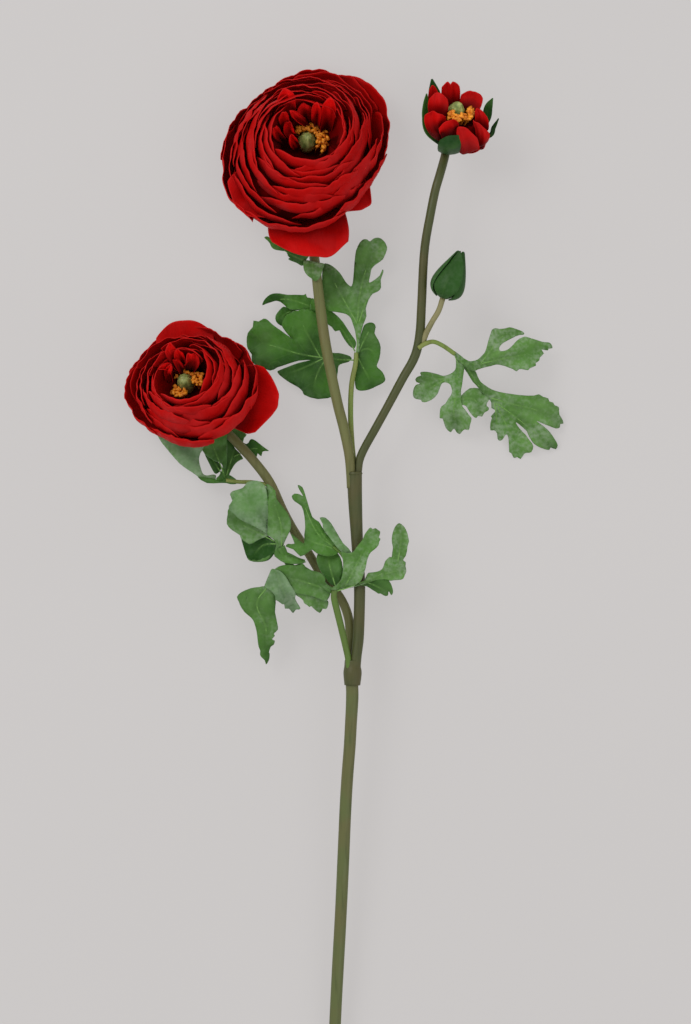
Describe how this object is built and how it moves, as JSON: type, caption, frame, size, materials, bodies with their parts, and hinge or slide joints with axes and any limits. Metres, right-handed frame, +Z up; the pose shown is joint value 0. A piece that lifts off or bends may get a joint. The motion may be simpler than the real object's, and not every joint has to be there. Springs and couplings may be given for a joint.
{
  "type": "persian buttercup flower",
  "caption": "Cut persian buttercup lying on its back: layered red blooms, an opening bud, a closed bud and lobed green leaves on a forked stem.",
  "frame": {"origin": "centre of the bounding box, on the surface that the flower lies on", "axes": "+Y along the stem from its cut end to the blooms, +Z up from the surface, +X to the right of the blooms seen from above"},
  "size_m": [0.2215, 0.5523, 0.0563],
  "materials": {
    "stem": "smooth green to olive brown stem with a faint grain along it",
    "leaf": "matte green leaf with pale veins and a whitish bloom, paler underneath",
    "petal": "matte crimson petal, darker at the root, with a thin bright rim",
    "sepal": "matte dark green sepal",
    "bud": "matte green closed sepals with bluish edges",
    "stamen": "matte orange anthers",
    "pistil": "satin pale green seed head"
  },
  "bodies": {
    "root": {"main_stem": "stem", "middle_stem": "stem", "large_bloom_stem": "stem", "small_bloom_stem": "stem", "bud_stem": "stem", "closed_bud_stem": "stem", "right_leaf": "leaf", "upper_left_leaf": "leaf", "back_leaf": "leaf", "lower_leaf": "leaf", "bract_leaf": "leaf", "large_bloom_petals": "petal", "large_bloom_stamens": "stamen", "large_bloom_pistil": "pistil", "large_bloom_calyx": "sepal", "small_bloom_petals": "petal", "small_bloom_stamens": "stamen", "small_bloom_pistil": "pistil", "small_bloom_calyx": "sepal", "bud_petals": "petal", "bud_stamens": "stamen", "bud_pistil": "pistil", "bud_sepals": "sepal", "closed_bud": "bud"}
  },
  "joints": []
}
